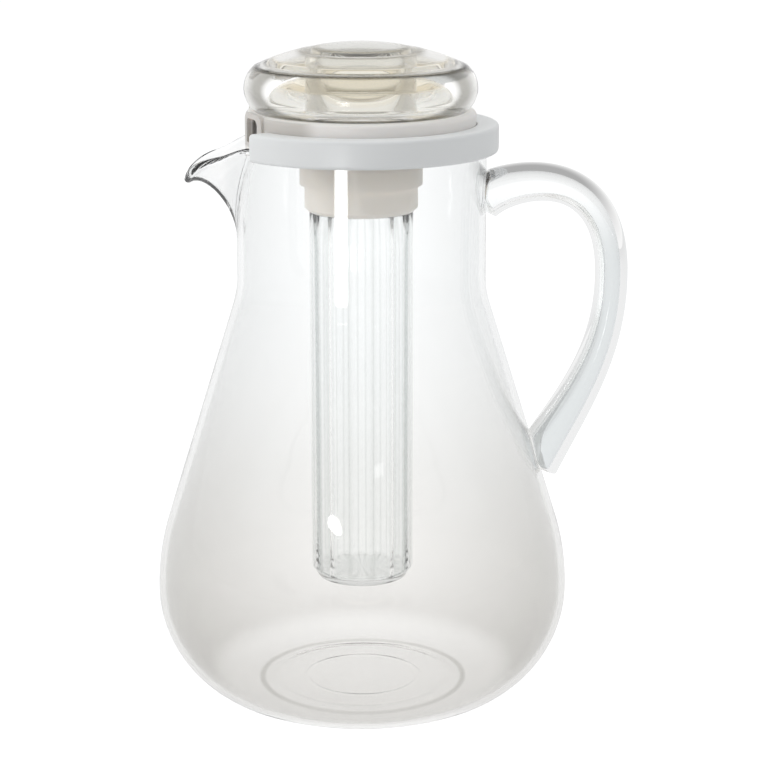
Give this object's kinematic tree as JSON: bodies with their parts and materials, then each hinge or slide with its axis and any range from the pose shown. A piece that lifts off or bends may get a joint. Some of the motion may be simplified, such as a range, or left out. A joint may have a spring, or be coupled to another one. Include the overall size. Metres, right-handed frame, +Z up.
{
  "type": "pitcher with ice tube",
  "caption": "Clear pear-shaped pitcher with a drooping spout, a bonded loop handle, and a lift-off lid that carries a screw-in ice tube.",
  "frame": {"origin": "On the jug's axis, in the plane of the standing ring that it rests on.", "axes": "+Z up along the jug's axis, spout towards -X, handle towards +X, symmetric across the XZ plane apart from the screw thread."},
  "size_m": [0.2017, 0.1776, 0.2822],
  "materials": {
    "jug_clear": "clear polished plastic",
    "handle_clear": "clear polished plastic, solid",
    "ring_white": "opaque white plastic with a soft gloss",
    "lid_frosted": "translucent natural plastic, satin",
    "knob_clear": "thick clear plastic with a faint smoky tint",
    "seal_rubber": "pale silicone rubber",
    "tube_clear": "clear polished plastic, fluted inside"
  },
  "bodies": {
    "jug": {"jug_body": "jug_clear", "handle": "handle_clear"},
    "lid": {"lid_body": "lid_frosted", "rim_ring": "ring_white", "knob_shell": "knob_clear", "knob_cap": "knob_clear"},
    "seal": {"tube_seal": "seal_rubber"},
    "tube": {"ice_tube": "tube_clear"}
  },
  "joints": [
    {"name": "lid_lift", "type": "slide", "parent": "jug", "child": "lid", "axis": [0, 0, 1], "range_m": [0, 0.2]},
    {"name": "tube_drop", "type": "slide", "parent": "lid", "child": "seal", "axis": [0, 0, -1], "range_m": [0, 0.01126]},
    {"name": "tube_unscrew", "type": "hinge", "parent": "seal", "child": "tube", "pos_m": [0, 0, 0.222], "axis": [0, 0, -1], "range_deg": [0, 810]}
  ],
  "couplings": [
    {"joint": "tube_drop", "follows": "tube_unscrew", "m_per_rad": 0.00079577}
  ]
}
